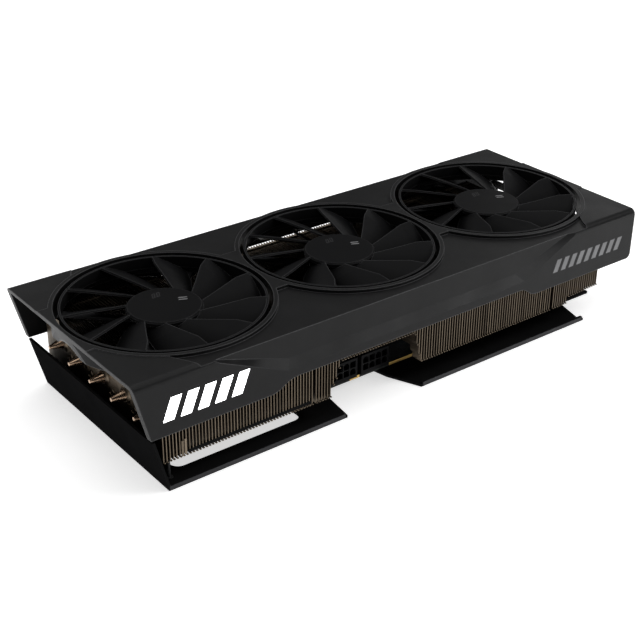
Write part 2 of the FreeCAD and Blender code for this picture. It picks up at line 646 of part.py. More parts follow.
def make_chips():
    half = PACKAGE / 2
    package = block(CHIP_X - half, CHIP_X + half, CHIP_Y - half, CHIP_Y + half, BOARD_TOP, BOARD_TOP + 1.8)
    die = block(CHIP_X - 12.5, CHIP_X + 12.5, CHIP_Y - 9.5, CHIP_Y + 9.5, BOARD_TOP + 1.8, PLATE_BOTTOM)
    save("processor_package", package)
    save("processor_die", die)
    frame = block(CHIP_X - half, CHIP_X + half, CHIP_Y - half, CHIP_Y + half, BOARD_TOP + 1.8, BOARD_TOP + 2.3)
    inner = half - 4
    window = block(CHIP_X - inner, CHIP_X + inner, CHIP_Y - inner, CHIP_Y + inner, BOARD_TOP, BOARD_TOP + 4)
    save("processor_stiffener", frame.cut(window))

    chips = []
    pads = []
    places = []
    for side in (-1, 1):
        for step in (-1, 1):
            places.append((CHIP_X + side * 38.0, CHIP_Y + step * 9.5, MEMORY_WIDTH, MEMORY_LENGTH))
            places.append((CHIP_X + step * 9.5, CHIP_Y + side * 32.0, MEMORY_LENGTH, MEMORY_WIDTH))
    for x, y, size_x, size_y in places:
        chips.append(block(x - size_x / 2, x + size_x / 2, y - size_y / 2, y + size_y / 2,
                           BOARD_TOP, BOARD_TOP + 1.2))
        pads.append(block(x - size_x / 2 + 1, x + size_x / 2 - 1, y - size_y / 2 + 1, y + size_y / 2 - 1,
                          BOARD_TOP + 1.2, PLATE_BOTTOM))
    save("memory_chips", chips)
    save("memory_pads", pads)


def make_power_parts():
    chokes = []
    stages = []
    for column, x in enumerate((128.0, 258.0)):
        for row in range(7):
            y = 44.0 + row * 10.0
            choke = block(x - 4.5, x + 4.5, y - 4.0, y + 4.0, BOARD_TOP, BOARD_TOP + 6.0)
            upright = [edge for edge in choke.Edges if edge.BoundBox.ZLength > 5]
            chokes.append(choke.makeFillet(0.8, upright))
            inward = 9.0 if column == 0 else -9.0
            stages.append(block(x + inward - 3.0, x + inward + 3.0, y - 2.5, y + 2.5, BOARD_TOP, BOARD_TOP + 0.9))
    save("power_chokes", chokes)
    save("power_stages", stages)
    cans = []
    for x in (117.0, 270.0, 280.0):
        for row in range(4):
            y = 48.0 + row * 17.0
            can = disc(x, y, BOARD_TOP, BOARD_TOP + 5.8, 3.1)
            rim = [edge for edge in can.Edges if edge.BoundBox.ZMin > BOARD_TOP + 5.7]
            cans.append(can.makeFillet(0.5, rim))
    save("capacitors", cans)


def socket_x(index):
    width = 4 * SOCKET_PITCH + 1.8
    return SOCKET_FIRST_X + index * (width + SOCKET_GAP), width


def make_sockets():
    """Two eight-way supply sockets, cells opening towards the near side."""
    pins = []
    for index, name in enumerate(("a", "b")):
        x0, width = socket_x(index)
        low = BOARD_TOP
        high = low + SOCKET_HEIGHT
        back = SOCKET_FRONT_Y + SOCKET_DEPTH
        body = block(x0, x0 + width, SOCKET_FRONT_Y, back, low, high)
        latch = block(x0 + width / 2 - 2.6, x0 + width / 2 + 2.6, SOCKET_FRONT_Y + 1.0, SOCKET_FRONT_Y + 7.0,
                      high, high + 1.0)
        body = body.fuse(latch).removeSplitter()
        cells = []
        for column in range(4):
            for row in range(2):
                cx = x0 + width / 2 + (column - 1.5) * SOCKET_PITCH
                cz = low + 1.9 + (row + 0.5) * SOCKET_PITCH
                cells.append(cell_cutter(cx, cz, (column + row) % 2 == 0))
                pins.append(block(cx - 0.6, cx + 0.6, SOCKET_FRONT_Y + 2.5, back - 2.0, cz - 0.6, cz + 0.6))
        body = body.cut(cells)
        save("power_socket_" + name, body)
    save("power_pins", pins)


def cell_cutter(cx, cz, square):
    """One cell of a supply socket: square, or with two corners cut off for keying."""
    half = 1.8
    cut = 1.1
    if square:
        outline = [(cx - half, cz - half), (cx + half, cz - half), (cx + half, cz + half), (cx - half, cz + half)]
    else:
        outline = [(cx - half, cz - half), (cx + half, cz - half), (cx + half, cz + half - cut),
                   (cx + half - cut, cz + half), (cx - half + cut, cz + half), (cx - half, cz + half - cut)]
    return side_prism(outline, SOCKET_FRONT_Y - 1, SOCKET_FRONT_Y + SOCKET_DEPTH - 2.0)


# ---- cold plate and base plate ----------------------------------------------------------------------

def make_plates():
    half = 28.0
    cold = block(CHIP_X - half, CHIP_X + half, CHIP_Y - 20, CHIP_Y + 20, PLATE_BOTTOM, PLATE_TOP)
    save("cold_plate", cold)
    base = block(CHIP_X - 48, CHIP_X + 48, CHIP_Y - 38, CHIP_Y + 38, PLATE_BOTTOM, PLATE_TOP - 1.0)
    gap = 0.2
    window = block(CHIP_X - half - gap, CHIP_X + half + gap, CHIP_Y - 20 - gap, CHIP_Y + 20 + gap, 0, 20)
    holes = [disc(x, y, 0, 30, SCREW_R) for x, y in SPRING_SCREWS]
    save("base_plate", base.cut([window] + holes))


# ---- backplate -----------------------------------------------------------------------------------------

WINDOW_X = (26.0, 100.0)
WINDOW_Y = (11.8, 109.0)
WINDOW_RIB = 4.0
BACKPLATE_END_X = 318.0
BACKPLATE_FAR_Y = 129.0
TAIL_PINS = ((20.2, 7.5), (20.2, 113.0))
TAIL_PIN_R = 0.8
PIN_PLAY = 0.04
SCREW_HEAD_R = 2.4
SCREW_HEAD_SINK = 0.7


def backplate_windows():
    """The three openings of the flow-through area, as (y0, y1) spans."""
    span = (WINDOW_Y[1] - WINDOW_Y[0] - 2 * WINDOW_RIB) / 3
    return [(WINDOW_Y[0] + index * (span + WINDOW_RIB), WINDOW_Y[0] + index * (span + WINDOW_RIB) + span)
            for index in range(3)]


def upright_edges_filleted(solid, radius, height):
    edges = [edge for edge in solid.Edges if abs(edge.BoundBox.ZLength - height) < 0.01
             and edge.BoundBox.XLength < 0.01 and edge.BoundBox.YLength < 0.01]
    return solid.makeFillet(radius, edges)


def make_backplate():
    foot = tail_x(0)
    outline = [(foot, 0.0), (119.0, 0.0), (121.5, 17.0), (125.0, 28.5), (158.0, 28.5), (160.0, 18.4), (168.0, 0.0),
               (290.5, 0.0), (288.3, 3.0), (292.5, 17.5), (297.0, 21.5), (BACKPLATE_END_X, 21.5),
               (BACKPLATE_END_X, BACKPLATE_FAR_Y), (BOARD_TAIL_X, BACKPLATE_FAR_Y), (94.0, 120.0), (foot, 120.0)]
    sheet = plan_prism(outline, 0, SHEET)
    flange_outline = [(tail_x(0), 0), (tail_x(0) + SHEET, 0), (tail_x(FLANGE_TOP) + SHEET, FLANGE_TOP),
                      (tail_x(FLANGE_TOP), FLANGE_TOP)]
    flange = side_prism(flange_outline, 0, 120.0)
    lips = [block(tail_x(0), 118.2, 0, SHEET, SHEET, LIP_HEIGHT), block(168.8, 289.5, 0, SHEET, SHEET, LIP_HEIGHT)]
    plate = fused([sheet, flange] + lips)
    cutters = []
    for y0, y1 in backplate_windows():
        window = block(WINDOW_X[0], WINDOW_X[1], y0, y1, -1, SHEET + 1)
        cutters.append(upright_edges_filleted(window, 5.0, SHEET + 2))
    cutters.append(block(CHIP_X - 26, CHIP_X + 26, CHIP_Y - 26, CHIP_Y + 26, -1, SHEET + 1))
    for x, y in BOARD_SCREWS:
        cutters.append(disc(x, y, -1, SHEET + 1, SCREW_R + 0.2))
        cutters.append(disc(x, y, -1, SCREW_HEAD_SINK, SCREW_HEAD_R + 0.2))
    cutters += [disc(x, y, -1, SHEET + 1, TAIL_PIN_R + PIN_PLAY) for x, y in TAIL_PINS]
    return plate.cut(cutters)


def screw_from_below(x, y, head_bottom, shank_top, shank_r=1.15, head_r=2.6, head_height=0.9):
    return screw_up(x, y, head_bottom, head_height, head_r, shank_top, shank_r)


def make_back_parts():
    save("backplate", make_backplate())
    half = 24.0
    spring = block(CHIP_X - half, CHIP_X + half, CHIP_Y - half, CHIP_Y + half, 2.6, 3.8)
    spring = spring.cut(block(CHIP_X - 15, CHIP_X + 15, CHIP_Y - 15, CHIP_Y + 15, 0, 10))
    arms = []
    for x, y in SPRING_SCREWS:
        arm = block(28.0, 48.5, -3.5, 3.5, 2.6, 3.8)
        arm.rotate(point(0, 0, 0), UP, math.degrees(math.atan2(y - CHIP_Y, x - CHIP_X)))
        arm.translate(point(CHIP_X, CHIP_Y, 0))
        arms.append(arm)
    spring = fused([spring] + arms)
    save("retention_spring", spring.cut([disc(x, y, 0, 10, SCREW_R + 0.2) for x, y in SPRING_SCREWS]))
    save("retention_screws", [screw_from_below(x, y, 1.7, PLATE_TOP - 1.2, SCREW_R - 0.05, 2.6, 0.9)
                              for x, y in SPRING_SCREWS])
    spacers = [tube(x, y, SHEET, BOARD_BOTTOM, 2.6, SCREW_R + 0.2) for x, y in BOARD_SCREWS]
    save("board_spacers", spacers)
    save("backplate_screws", [screw_from_below(x, y, 0.0, BOARD_TOP + 0.4, SCREW_R - 0.05, SCREW_HEAD_R, 0.6)
                              for x, y in BOARD_SCREWS])


# ---- slot bracket and display ports ---------------------------------------------------------------------

BRACKET_X = CARD_LENGTH
BRACKET_SKIN = 0.9
BRACKET_LOW = 2.6
BRACKET_SPAN = 38.74
SLOT_PITCH = 20.32
TAB_Y = 30.0
PORT_Y = (50.0, 72.0, 94.0, 116.0)
PORT_WIDTH = 16.4
PORT_HEIGHT = 6.0
PORT_LOW = BOARD_TOP + 0.3


def make_slot_bracket():
    high = BRACKET_LOW + BRACKET_SPAN
    plate = block(BRACKET_X, BRACKET_X + BRACKET_SKIN, TAB_Y, 138.0, BRACKET_LOW, high)
    tab = block(BRACKET_X, BRACKET_X + BRACKET_REACH, TAB_Y, TAB_Y + BRACKET_SKIN, 9.6, high)
    pieces = [plate, tab]
    for slot in range(2):
        centre = BRACKET_LOW + 9.2 + slot * SLOT_PITCH
        pieces.append(block(BRACKET_X, BRACKET_X + BRACKET_SKIN, 137.5, BRACKET_END_Y, centre - 5.1, centre + 5.1))
    bracket = fused(pieces)
    cutters = []
    for y in PORT_Y:
        cutters.append(block(BRACKET_X - 1, BRACKET_X + 2, y - PORT_WIDTH / 2 - 0.3, y + PORT_WIDTH / 2 + 0.3,
                             PORT_LOW - 0.3, PORT_LOW + PORT_HEIGHT + 0.3))
    for row in range(8):
        y = 40.0 + row * 12.0
        cutters.append(block(BRACKET_X - 1, BRACKET_X + 2, y, y + 8.0, 19.0, 36.5))
    for slot in range(2):
        centre = BRACKET_LOW + 13.0 + slot * SLOT_PITCH
        notch = block(BRACKET_X + 7.5, BRACKET_X + 20, TAB_Y - 1, TAB_Y + 3, centre - 2.2, centre + 2.2)
        cutters.append(notch)
    for y in (61.0, 105.0):
        cutters.append(Part.makeCylinder(1.6, 4, point(BRACKET_X - 1, y, PORT_LOW + 3.0), ALONG))
    save("slot_bracket", bracket.cut(cutters))

    screws = []
    for y in (61.0, 105.0):
        centre = point(BRACKET_X + BRACKET_SKIN, y, PORT_LOW + 3.0)
        screw = Part.makeCylinder(2.6, 1.4, centre, ALONG)
        shank = Part.makeCylinder(1.4, 6.0 + BRACKET_SKIN, centre - ALONG * (6.0 + BRACKET_SKIN), ALONG)
        slot = block(BRACKET_X + BRACKET_SKIN + 0.8, BRACKET_X + 5, y - 1.8, y + 1.8, PORT_LOW + 2.7, PORT_LOW + 3.3)
        screws.append(screw.fuse(shank).removeSplitter().cut(slot))
    save("bracket_screws", screws)


def make_ports():
    shells = []
    tongues = []
    for y in PORT_Y:
        half = PORT_WIDTH / 2
        low = BOARD_TOP
        high = PORT_LOW + PORT_HEIGHT
        back = BRACKET_X - 17.0
        outer = block(back, BRACKET_X + 1.2, y - half, y + half, low, high)
        wall = 0.5
        mouth = [(y - half + wall, low + 0.8), (y + half - wall, low + 0.8), (y + half - wall, high - 2.0),
                 (y + half - wall - 1.6, high - wall), (y - half + wall, high - wall)]
        corners = [point(BRACKET_X - 12.0, a, b) for a, b in mouth]
        hollow = Part.Face(Part.makePolygon(corners + corners[:1])).extrude(point(20, 0, 0))
        shells.append(outer.cut(hollow))
        tongues.append(block(BRACKET_X - 12.0, BRACKET_X - 1.0, y - half + 3, y + half - 3, low + 2.6, low + 3.6))
    save("display_port_shells", shells)
    save("display_port_tongues", tongues)
    blocks = []
    for y in (61.0, 105.0):
        nut = block(BRACKET_X - 8.0, BRACKET_X, y - 2.6, y + 2.6, BOARD_TOP, PORT_LOW + 6.0)
        blocks.append(nut.cut(Part.makeCylinder(1.45, 9, point(BRACKET_X - 7.0, y, PORT_LOW + 3.0), ALONG)))
    save("bracket_blocks", blocks)


# ---- structure between shroud, fins and backplate -----------------------------------------------------

def make_structure():
    """Thin pins under the tail stack, and tabs that hold the shroud to the fins."""
    pins = []
    for x, y in TAIL_PINS:
        pin = disc(x, y, 0.2, FIN_BOTTOM, TAIL_PIN_R)
        pins.append(pin.fuse(disc(x, y, SHEET, SHEET + 0.6, 1.8)).removeSplitter())
    save("tail_pins", pins)
    tabs = []
    for near_x, far_x in ((86.0, 18.0), (296.0, 296.0)):
        tabs.append(block(near_x, near_x + 6.0, SKIRT_SKIN, FIN_NEAR_Y, 37.0, 44.0))
        tabs.append(block(far_x, far_x + 6.0, FIN_FAR_Y, FAR_INNER_Y, 33.0, 41.0))
    save("shroud_tabs", tabs)


def main():
    os.makedirs("parts", exist_ok=True)
    save("shroud", make_shroud())
    make_side_lights()
    make_fans()
    make_fan_leads()
    make_fin_stacks()
    make_heat_pipes()
    make_board()
    make_chips()
    make_power_parts()
    make_sockets()
    make_plates()
    make_back_parts()
    make_structure()
    make_slot_bracket()
    make_ports()


main()
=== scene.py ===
"""Looks of the triple-fan graphics card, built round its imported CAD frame."""

import json
import math
import random

import bmesh
import bpy
from mathutils import Matrix, Vector


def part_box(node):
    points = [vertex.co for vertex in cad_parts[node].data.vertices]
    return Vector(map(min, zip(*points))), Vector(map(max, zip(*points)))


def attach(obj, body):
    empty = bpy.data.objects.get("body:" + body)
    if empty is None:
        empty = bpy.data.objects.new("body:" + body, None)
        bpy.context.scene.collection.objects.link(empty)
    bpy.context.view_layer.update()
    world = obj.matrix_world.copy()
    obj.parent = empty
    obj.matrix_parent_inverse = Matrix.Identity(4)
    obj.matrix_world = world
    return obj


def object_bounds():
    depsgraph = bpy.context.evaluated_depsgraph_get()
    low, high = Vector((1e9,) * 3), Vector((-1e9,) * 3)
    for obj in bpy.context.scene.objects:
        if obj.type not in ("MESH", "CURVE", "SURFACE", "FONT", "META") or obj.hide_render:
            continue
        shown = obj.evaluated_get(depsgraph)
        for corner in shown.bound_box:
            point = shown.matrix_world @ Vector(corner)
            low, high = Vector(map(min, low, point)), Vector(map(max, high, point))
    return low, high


MM = 0.001
FANS = ("tail", "middle", "bracket")

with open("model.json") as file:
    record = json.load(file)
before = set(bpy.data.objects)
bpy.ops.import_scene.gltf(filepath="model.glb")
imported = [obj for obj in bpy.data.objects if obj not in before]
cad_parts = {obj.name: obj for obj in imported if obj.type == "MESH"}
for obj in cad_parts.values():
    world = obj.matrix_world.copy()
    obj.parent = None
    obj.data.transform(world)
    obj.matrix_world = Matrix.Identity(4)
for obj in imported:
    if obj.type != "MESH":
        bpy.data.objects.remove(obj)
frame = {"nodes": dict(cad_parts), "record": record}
cad_box = [list(corner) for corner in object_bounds()]
nodes = frame["nodes"]
rng = random.Random(7)

PLASTIC_SHEEN = 0.14      # matte black parts reflect less than the usual plastic
FIN_PITCH = 1.75 * MM
FIN_THICKNESS = 0.45 * MM
BOX_FACES = ((0, 1, 3, 2), (4, 6, 7, 5), (0, 4, 5, 1), (2, 3, 7, 6), (0, 2, 6, 4), (1, 5, 7, 3))


# ---- material building blocks ---------------------------------------------------------------

class Surface:
    """A principled material with procedural colour, roughness and relief."""

    def __init__(self, name, colour, roughness, metallic=0.0, edge_mm=0.0, sheen=PLASTIC_SHEEN):
        self.material = bpy.data.materials.new(name)
        self.material.use_nodes = True
        self.nodes = self.material.node_tree.nodes
        self.links = self.material.node_tree.links
        self.shader = self.nodes["Principled BSDF"]
        self.colour = colour
        self.set("Base Color", (*colour, 1.0))
        self.set("Roughness", roughness)
        self.set("Metallic", metallic)
        if not metallic:
            self.set("Specular IOR Level", sheen)
        self.coordinates = self.nodes.new("ShaderNodeTexCoord").outputs["Object"]
        self.relief = None
        if edge_mm:
            rounding = self.nodes.new("ShaderNodeBevel")
            rounding.samples = 4
            rounding.inputs["Radius"].default_value = edge_mm * MM
            self.relief = rounding.outputs["Normal"]
            self.links.new(self.relief, self.shader.inputs["Normal"])

    def set(self, socket, value):
        self.shader.inputs[socket].default_value = value
        return self

    def stretched(self, scale):
        """Object coordinates scaled differently along each axis."""
        mapping = self.nodes.new("ShaderNodeMapping")
        mapping.inputs["Scale"].default_value = scale
        self.links.new(self.coordinates, mapping.inputs["Vector"])
        return mapping.outputs["Vector"]

    def noise(self, scale, detail=3.0, stretch=None):
        """Noise with a cell size of about 1 / scale metres, or finer along a stretched axis."""
        texture = self.nodes.new("ShaderNodeTexNoise")
        texture.inputs["Scale"].default_value = scale
        texture.inputs["Detail"].default_value = detail
        source = self.stretched(stretch) if stretch else self.coordinates
        self.links.new(source, texture.inputs["Vector"])
        return texture.outputs["Fac"]

    def remap(self, value, low, high, start=0.3, end=0.7):
        """Spreads the useful middle of a mask between two values."""
        node = self.nodes.new("ShaderNodeMapRange")
        node.inputs["From Min"].default_value = start
        node.inputs["From Max"].default_value = end
        node.inputs["To Min"].default_value = low
        node.inputs["To Max"].default_value = high
        self.links.new(value, node.inputs["Value"])
        return node.outputs["Result"]

    def shade(self, mask, dark, light):
        """Base colour that runs between two multiples of the main colour."""
        mix = self.nodes.new("ShaderNodeMix")
        mix.data_type = "RGBA"
        mix.inputs["A"].default_value = (*(dark * c for c in self.colour), 1.0)
        mix.inputs["B"].default_value = (*(light * c for c in self.colour), 1.0)
        self.links.new(mask, mix.inputs["Factor"])
        self.links.new(mix.outputs["Result"], self.shader.inputs["Base Color"])
        return self

    def base_colour_source(self):
        """Whatever feeds the base colour now: a link, or the plain colour as a node."""
        socket = self.shader.inputs["Base Color"]
        if socket.is_linked:
            return socket.links[0].from_socket
        plain = self.nodes.new("ShaderNodeRGB")
        plain.outputs["Color"].default_value = (*self.colour, 1.0)
        return plain.outputs["Color"]

    def tint(self, mask, colour):
        """Mixes a second colour over the base colour where the mask is high."""
        source = self.base_colour_source()
        mix = self.nodes.new("ShaderNodeMix")
        mix.data_type = "RGBA"
        mix.inputs["B"].default_value = (*colour, 1.0)
        self.links.new(source, mix.inputs["A"])
        self.links.new(mask, mix.inputs["Factor"])
        self.links.new(mix.outputs["Result"], self.shader.inputs["Base Color"])
        return self

    def paint_edge_highlights(self, width_mm, colour):
        """Painted highlight: sharp edges are painted lighter for the light they catch, together with
        rubbed wear as on handled black plastic.
        """
        rounding = self.nodes.new("ShaderNodeBevel")
        rounding.samples = 6
        rounding.inputs["Radius"].default_value = width_mm * MM
        flat = self.nodes.new("ShaderNodeNewGeometry").outputs["Normal"]
        compare = self.nodes.new("ShaderNodeVectorMath")
        compare.operation = "DOT_PRODUCT"
        self.links.new(rounding.outputs["Normal"], compare.inputs[0])
        self.links.new(flat, compare.inputs[1])
        return self.tint(self.remap(compare.outputs["Value"], 1.0, 0.0, 0.80, 0.995), colour)

    def height(self, foot, head):
        """Mask that rises from 0 to 1 between two heights."""
        split = self.nodes.new("ShaderNodeSeparateXYZ")
        self.links.new(self.coordinates, split.inputs[0])
        return self.remap(split.outputs["Z"], 0.0, 1.0, foot, head)

    def roughen(self, mask, low, high):
        self.links.new(self.remap(mask, low, high), self.shader.inputs["Roughness"])
        return self

    def bump(self, height, distance, strength=1.0):
        """Adds relief; distance is its depth in metres."""
        node = self.nodes.new("ShaderNodeBump")
        node.inputs["Strength"].default_value = strength
        node.inputs["Distance"].default_value = distance
        self.links.new(height, node.inputs["Height"])
        if self.relief:
            self.links.new(self.relief, node.inputs["Normal"])
        self.relief = node.outputs["Normal"]
        self.links.new(self.relief, self.shader.inputs["Normal"])
        return self


def moulded(name, colour, roughness, grain=2500.0, depth=0.00002, edge_mm=0.0, sheen=PLASTIC_SHEEN):
    """Moulded plastic: spark-eroded grain, soft mottling, faint handling marks."""
    s = Surface(name, colour, roughness, edge_mm=edge_mm, sheen=sheen)
    marks = s.noise(45.0, 6.0)
    s.roughen(marks, roughness - 0.06, roughness + 0.07)
    s.shade(s.remap(s.noise(120.0), 0.0, 1.0), 0.9, 1.12)
    return s.bump(s.noise(grain, 2.0), depth)


def metal(name, colour, roughness, stretch=(1.0, 1.0, 1.0), grain=900.0, depth=0.000008):
    """Metal with a drawn or brushed grain along the least stretched axis."""
    s = Surface(name, colour, roughness, 1.0)
    streaks = s.noise(grain, 4.0, stretch)
    s.roughen(streaks, roughness - 0.07, roughness + 0.08)
    s.shade(s.remap(s.noise(140.0, 4.0), 0.0, 1.0), 0.85, 1.12)
    return s.bump(streaks, depth)


def powder_coat(name, colour, roughness, sheen=PLASTIC_SHEEN):
    """Powder-coated sheet: fine orange peel over a slow waviness."""
    s = Surface(name, colour, roughness, edge_mm=0.3, sheen=sheen)
    s.roughen(s.noise(60.0, 5.0), roughness - 0.05, roughness + 0.06)
    s.shade(s.remap(s.noise(90.0), 0.0, 1.0), 0.9, 1.1)
    s.bump(s.noise(1500.0, 1.0), 0.00003)
    return s.bump(s.noise(260.0, 2.0), 0.00002)


def make_materials():
    m = {}
    m["shroud_plastic"] = moulded("shroud_plastic", (0.0070, 0.0070, 0.0073), 0.40, edge_mm=0.6)
    # painted highlight along the shroud's sharp edges, with rubbed wear
    m["shroud_plastic"].paint_edge_highlights(0.8, (0.10, 0.10, 0.103))
    m["fan_plastic"] = fan_plastic()
    m["motor_plastic"] = moulded("motor_plastic", (0.012, 0.012, 0.013), 0.5)
    m["socket_plastic"] = moulded("socket_plastic", (0.005, 0.005, 0.0055), 0.34, edge_mm=0.25, sheen=0.05)
    m["plug_plastic"] = moulded("plug_plastic", (0.022, 0.022, 0.022), 0.4)
    m["header_plastic"] = moulded("header_plastic", (0.62, 0.60, 0.54), 0.42)
    m["port_plastic"] = moulded("port_plastic", (0.02, 0.02, 0.02), 0.45)
    m["side_mark"] = moulded("side_mark", (0.20, 0.20, 0.205), 0.5)
    m["chip_package"] = moulded("chip_package", (0.03, 0.03, 0.032), 0.55, 5000.0)
    m["choke"] = moulded("choke", (0.055, 0.055, 0.057), 0.6, 6000.0, 0.00003)
    m["thermal_pad"] = moulded("thermal_pad", (0.36, 0.42, 0.48), 0.7)
    m["lead_sleeve"] = moulded("lead_sleeve", (0.012, 0.012, 0.012), 0.5)
    m["magnet"] = moulded("magnet", (0.08, 0.075, 0.07), 0.6)
    m["led_board"] = moulded("led_board", (0.75, 0.76, 0.78), 0.4)

    m["backplate_coat"] = powder_coat("backplate_coat", (0.009, 0.009, 0.0093), 0.5, 0.0)
    m["bracket_steel"] = powder_coat("bracket_steel", (0.03, 0.03, 0.032), 0.34)
    m["tab_steel"] = powder_coat("tab_steel", (0.025, 0.025, 0.026), 0.42)
    m["black_screws"] = powder_coat("black_screws", (0.022, 0.022, 0.024), 0.32)

    m["fin_metal"] = fin_metal()
    # a lighter, shinier copy of the backplate finish for its near lips: painted highlight
    m["edge_trim"] = metal("edge_trim", (0.038, 0.038, 0.040), 0.36, (0.05, 1.0, 1.0))
    m["board_edge"] = metal("board_edge", (0.62, 0.42, 0.14), 0.4, (0.1, 1.0, 1.0))
    m["pipe_metal"] = metal("pipe_metal", (0.50, 0.35, 0.24), 0.26, (0.08, 1.0, 1.0))
    m["cold_plate_copper"] = metal("cold_plate_copper", (0.72, 0.38, 0.24), 0.24, (0.05, 1.0, 1.0))
    m["base_aluminium"] = metal("base_aluminium", (0.56, 0.56, 0.57), 0.34, (0.05, 1.0, 1.0))
    m["steel"] = metal("steel", (0.60, 0.60, 0.61), 0.2, (1.0, 1.0, 0.1))
    m["stiffener_steel"] = metal("stiffener_steel", (0.55, 0.55, 0.56), 0.36, (0.1, 1.0, 1.0))
    m["spring_steel"] = metal("spring_steel", (0.48, 0.48, 0.49), 0.32, (0.1, 1.0, 1.0))
    m["steel_screws"] = metal("steel_screws", (0.58, 0.58, 0.60), 0.28)
    m["port_steel"] = metal("port_steel", (0.62, 0.61, 0.60), 0.28, (0.1, 1.0, 1.0))
    m["pin_metal"] = metal("pin_metal", (0.72, 0.69, 0.62), 0.22)
    m["capacitor_can"] = metal("capacitor_can", (0.64, 0.64, 0.66), 0.26)
    m["bearing_brass"] = metal("bearing_brass", (0.66, 0.48, 0.24), 0.28)
    m["spacer_brass"] = metal("spacer_brass", (0.60, 0.46, 0.25), 0.3)
    m["gold"] = metal("gold", (0.90, 0.63, 0.26), 0.22, (1.0, 0.1, 1.0))
    m["copper_wire"] = copper_wire()
    m["silicon"] = silicon()
    m["circuit_board"] = board_mask()
    m["light_diffuser"] = lit_diffuser()
    return m


def fan_plastic():
    """Glass-filled plastic, with painted shade darker down between the blades and a painted highlight
    along blade edges.
    """
    s = Surface("fan_plastic", (0.006, 0.006, 0.0063), 0.38, edge_mm=0.25, sheen=0.025)
    # painted shade: darker towards the bottom of the blades, down between them, and lighter towards their
    # tops
    s.shade(s.height(51.0 * MM, 56.5 * MM), 0.25, 1.4)
    # painted highlight along the blade edges, with rubbed wear
    s.paint_edge_highlights(0.9, (0.06, 0.06, 0.062))
    s.roughen(s.noise(45.0, 6.0), 0.32, 0.45)
    return s.bump(s.noise(3200.0, 2.0), 0.00001)


def fin_metal():
    """Bronze-nickel fins: each fin has its own tint, with faint rolling lines up its face."""
    s = Surface("fin_metal", (0.15, 0.12, 0.088), 0.36, 1.0)
    each_fin = s.noise(0.62, 1.0, (1000.0, 2.0, 2.0))
    s.shade(s.remap(each_fin, 0.0, 1.0), 0.62, 1.35)
    rolled = s.noise(700.0, 3.0, (1.0, 1.0, 0.04))
    s.roughen(rolled, 0.28, 0.46)
    return s.bump(rolled, 0.00001)


def copper_wire():
    """Layers of enamelled wire wound round each stator tooth."""
    s = Surface("copper_wire", (0.60, 0.24, 0.10), 0.3, 1.0)
    wave = s.nodes.new("ShaderNodeTexWave")
    wave.bands_direction = "Z"
    wave.inputs["Scale"].default_value = 900.0
    s.links.new(s.coordinates, wave.inputs["Vector"])
    s.shade(wave.outputs["Fac"], 0.6, 1.15)
    return s.bump(wave.outputs["Fac"], 0.0001)


def silicon():
    """Polished die with a faint grid of circuit blocks."""
    s = Surface("silicon", (0.09, 0.10, 0.13), 0.12)
    brick = s.nodes.new("ShaderNodeTexVoronoi")
    brick.distance = "CHEBYCHEV"
    brick.inputs["Scale"].default_value = 420.0
    s.links.new(s.coordinates, brick.inputs["Vector"])
    s.shade(brick.outputs["Distance"], 0.7, 1.5)
    return s


def board_mask():
    """Black solder mask with buried traces and small copper vias showing through."""
    s = Surface("circuit_board", (0.012, 0.014, 0.013), 0.3)
    traces = s.nodes.new("ShaderNodeTexVoronoi")
    traces.distance = "MANHATTAN"
    traces.feature = "DISTANCE_TO_EDGE"
    traces.inputs["Scale"].default_value = 240.0
    s.links.new(s.coordinates, traces.inputs["Vector"])
    lines = s.remap(traces.outputs["Distance"], 1.0, 0.0, 0.02, 0.08)
    s.shade(lines, 0.8, 2.2)
    s.roughen(s.noise(80.0, 3.0), 0.26, 0.36)
    return s.bump(lines, 0.00002)


def lit_diffuser():
    """Milky plastic lit from behind, a little brighter along its middle."""
    s = Surface("light_diffuser", (0.9, 0.92, 0.95), 0.35)
    s.set("Emission Color", (1.0, 1.0, 1.0, 1.0))
    s.links.new(s.remap(s.noise(60.0), 4.4, 5.4), s.shader.inputs["Emission Strength"])
    return s


# ---- the CAD nodes' finish ---------------------------------------------------------------------

def dress_nodes(materials):
    slots = {part["node"]: part["material_slot"] for part in frame["record"]["subparts"]}
    for name, node in nodes.items():
        node.data.materials.clear()
        node.data.materials.append(materials[slots[name]])


# ---- mesh helpers --------------------------------------------------------------------------------

def piece_from(name, mesh_builder, material, body):
    """A named mesh piece that rides on a CAD body and takes its finish from a slot."""
    mesh = bpy.data.meshes.new(name)
    bm = bmesh.new()
    mesh_builder(bm)
    bmesh.ops.recalc_face_normals(bm, faces=bm.faces)
    bm.to_mesh(mesh)
    bm.free()
    mesh.materials.append(material)
    piece = bpy.data.objects.new(name, mesh)
    bpy.context.scene.collection.objects.link(piece)
    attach(piece, body)
    return piece


def add_box(bm, low, high):
    """A box between two corners, added to a mesh being built."""
    corners = [bm.verts.new((x, y, z)) for x in (low[0], high[0]) for y in (low[1], high[1])
               for z in (low[2], high[2])]
    for face in BOX_FACES:
        bm.faces.new([corners[index] for index in face])


def add_lathe(bm, centre, axis, profile, segments=32, sweep=math.tau, start=0.0):
    """Turns a closed (radius, height) profile about an axis through a centre."""
    turn = Vector((0, 0, 1)).rotation_difference(Vector(axis)).to_matrix()
    whole = sweep > math.tau - 0.01
    rings = []
    for step in range(segments if whole else segments + 1):
        angle = start + sweep * step / segments
        ring = []
        for radius, height in profile:
            spot = Vector((radius * math.cos(angle), radius * math.sin(angle), height))
            ring.append(bm.verts.new(Vector(centre) + turn @ spot))
        rings.append(ring)
    for index in range(segments):
        here = rings[index]
        there = rings[(index + 1) % len(rings)]
        for k in range(len(profile)):
            m = (k + 1) % len(profile)
            bm.faces.new((here[k], here[m], there[m], there[k]))
    if not whole:
        bm.faces.new(rings[0])
        bm.faces.new(list(reversed(rings[-1])))


def smooth(piece):
    """Smooth shading that keeps large faces flat."""
    for polygon in piece.data.polygons:
        polygon.use_smooth = True
    piece.modifiers.new("even_shading", "WEIGHTED_NORMAL")


